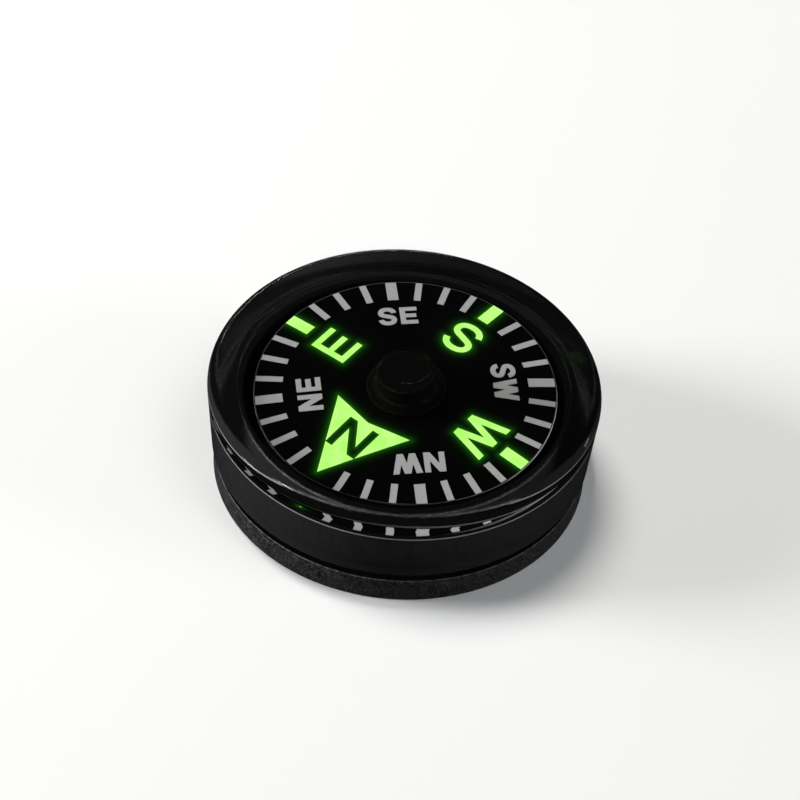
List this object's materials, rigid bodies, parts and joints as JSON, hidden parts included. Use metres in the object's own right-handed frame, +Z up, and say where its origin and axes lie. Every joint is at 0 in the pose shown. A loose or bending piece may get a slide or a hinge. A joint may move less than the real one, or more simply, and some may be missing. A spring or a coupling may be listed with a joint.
{
  "type": "liquid-filled button compass",
  "caption": "Small round liquid-filled compass: clear domed capsule on a black flanged base, with a floating dial card turning on a hidden pivot.",
  "frame": {"origin": "centre of the flat underside it rests on", "axes": "+Z up along the case's axis, out through the domed window; +Y towards the dial's north at rest"},
  "size_m": [0.02, 0.02, 0.0071],
  "materials": {
    "base_plastic": "fine grain",
    "seal_rubber": "matte",
    "pin_steel": "polished",
    "capsule_clear": "clear",
    "jewel": "polished",
    "hub_plastic": "gloss",
    "magnet_steel": "ground",
    "disc_aluminium": "cut edge",
    "face_black": "printed",
    "luminous_green": "luminous paint",
    "grey_print": "printed"
  },
  "bodies": {
    "case": {"base": "base_plastic", "seal_ring": "seal_rubber", "pivot_pin": "pin_steel", "capsule": "capsule_clear"},
    "bearing": {"jewel": "jewel"},
    "card": {"hub": "hub_plastic", "magnet": "magnet_steel", "card_disc": "disc_aluminium", "card_face": "face_black", "north_arrow": "luminous_green", "letter_e": "luminous_green", "letter_s": "luminous_green", "letter_w": "luminous_green", "cardinal_bars": "luminous_green", "letters_ne": "grey_print", "letters_se": "grey_print", "letters_sw": "grey_print", "letters_nw": "grey_print", "intercardinal_bars": "grey_print", "point_bars": "grey_print"}
  },
  "joints": [
    {"name": "card_spin", "type": "hinge", "parent": "case", "child": "bearing", "pos_m": [0, 0, 0.00592], "axis": [0, 0, 1], "continuous": true},
    {"name": "card_tilt", "type": "hinge", "parent": "bearing", "child": "card", "pos_m": [0, 0, 0.00592], "axis": [-1, 0, 0], "range_deg": [-11, 2]}
  ]
}
